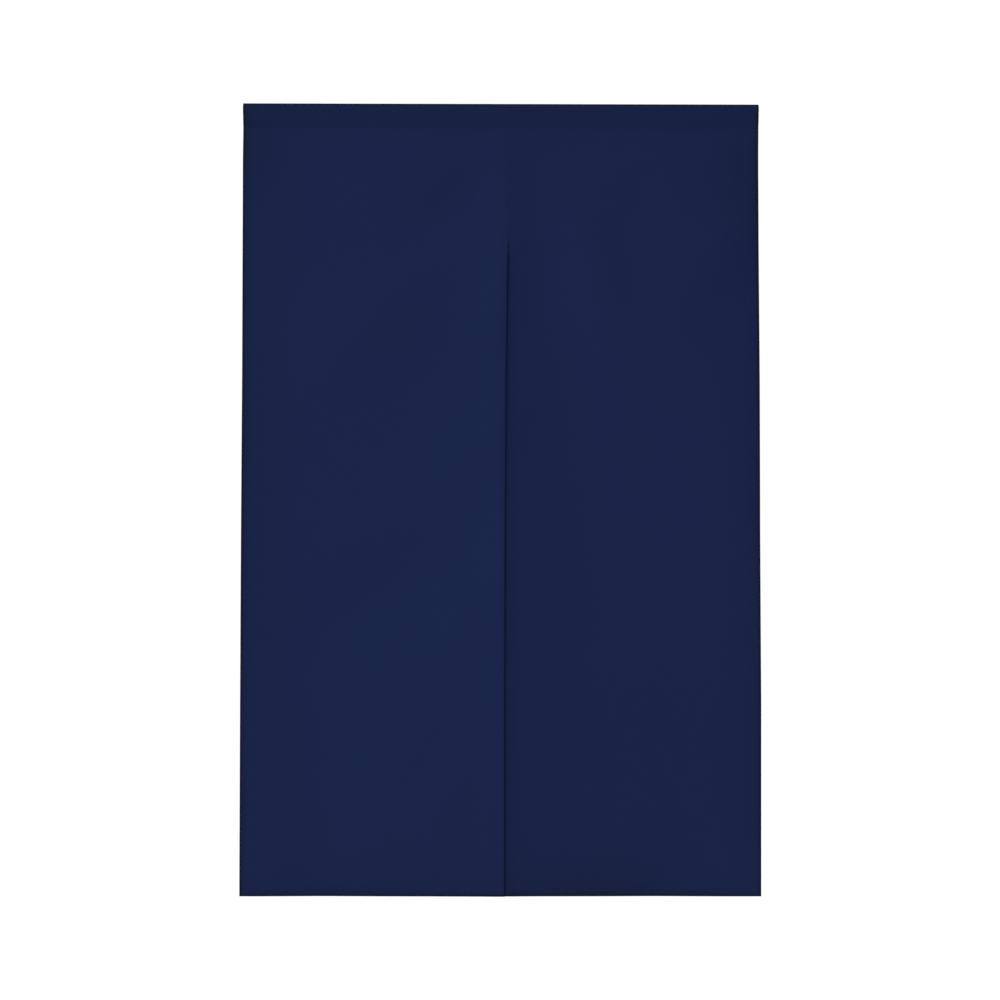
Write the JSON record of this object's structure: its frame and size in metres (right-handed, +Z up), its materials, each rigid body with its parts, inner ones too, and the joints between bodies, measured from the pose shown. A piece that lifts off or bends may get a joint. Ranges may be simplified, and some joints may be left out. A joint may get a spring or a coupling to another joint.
{
  "type": "noren curtain",
  "caption": "Plain navy noren for a doorway: side by side cloth panels, lapped and sewn at the top, hang free below a long slit. An open pocket along the top takes a rod.",
  "frame": {"origin": "the middle of the top edge, where a rod in the pocket holds the curtain up", "axes": "+Z up, the front faces -Y, +X to the right of someone who looks at the front"},
  "size_m": [0.8564, 0.02, 1.301],
  "materials": {
    "heading_cloth": "matt plain weave, several layers",
    "panel_cloth": "matt plain weave"
  },
  "bodies": {
    "root": {"heading": "heading_cloth", "left_panel": "panel_cloth", "right_panel": "panel_cloth"}
  },
  "joints": []
}
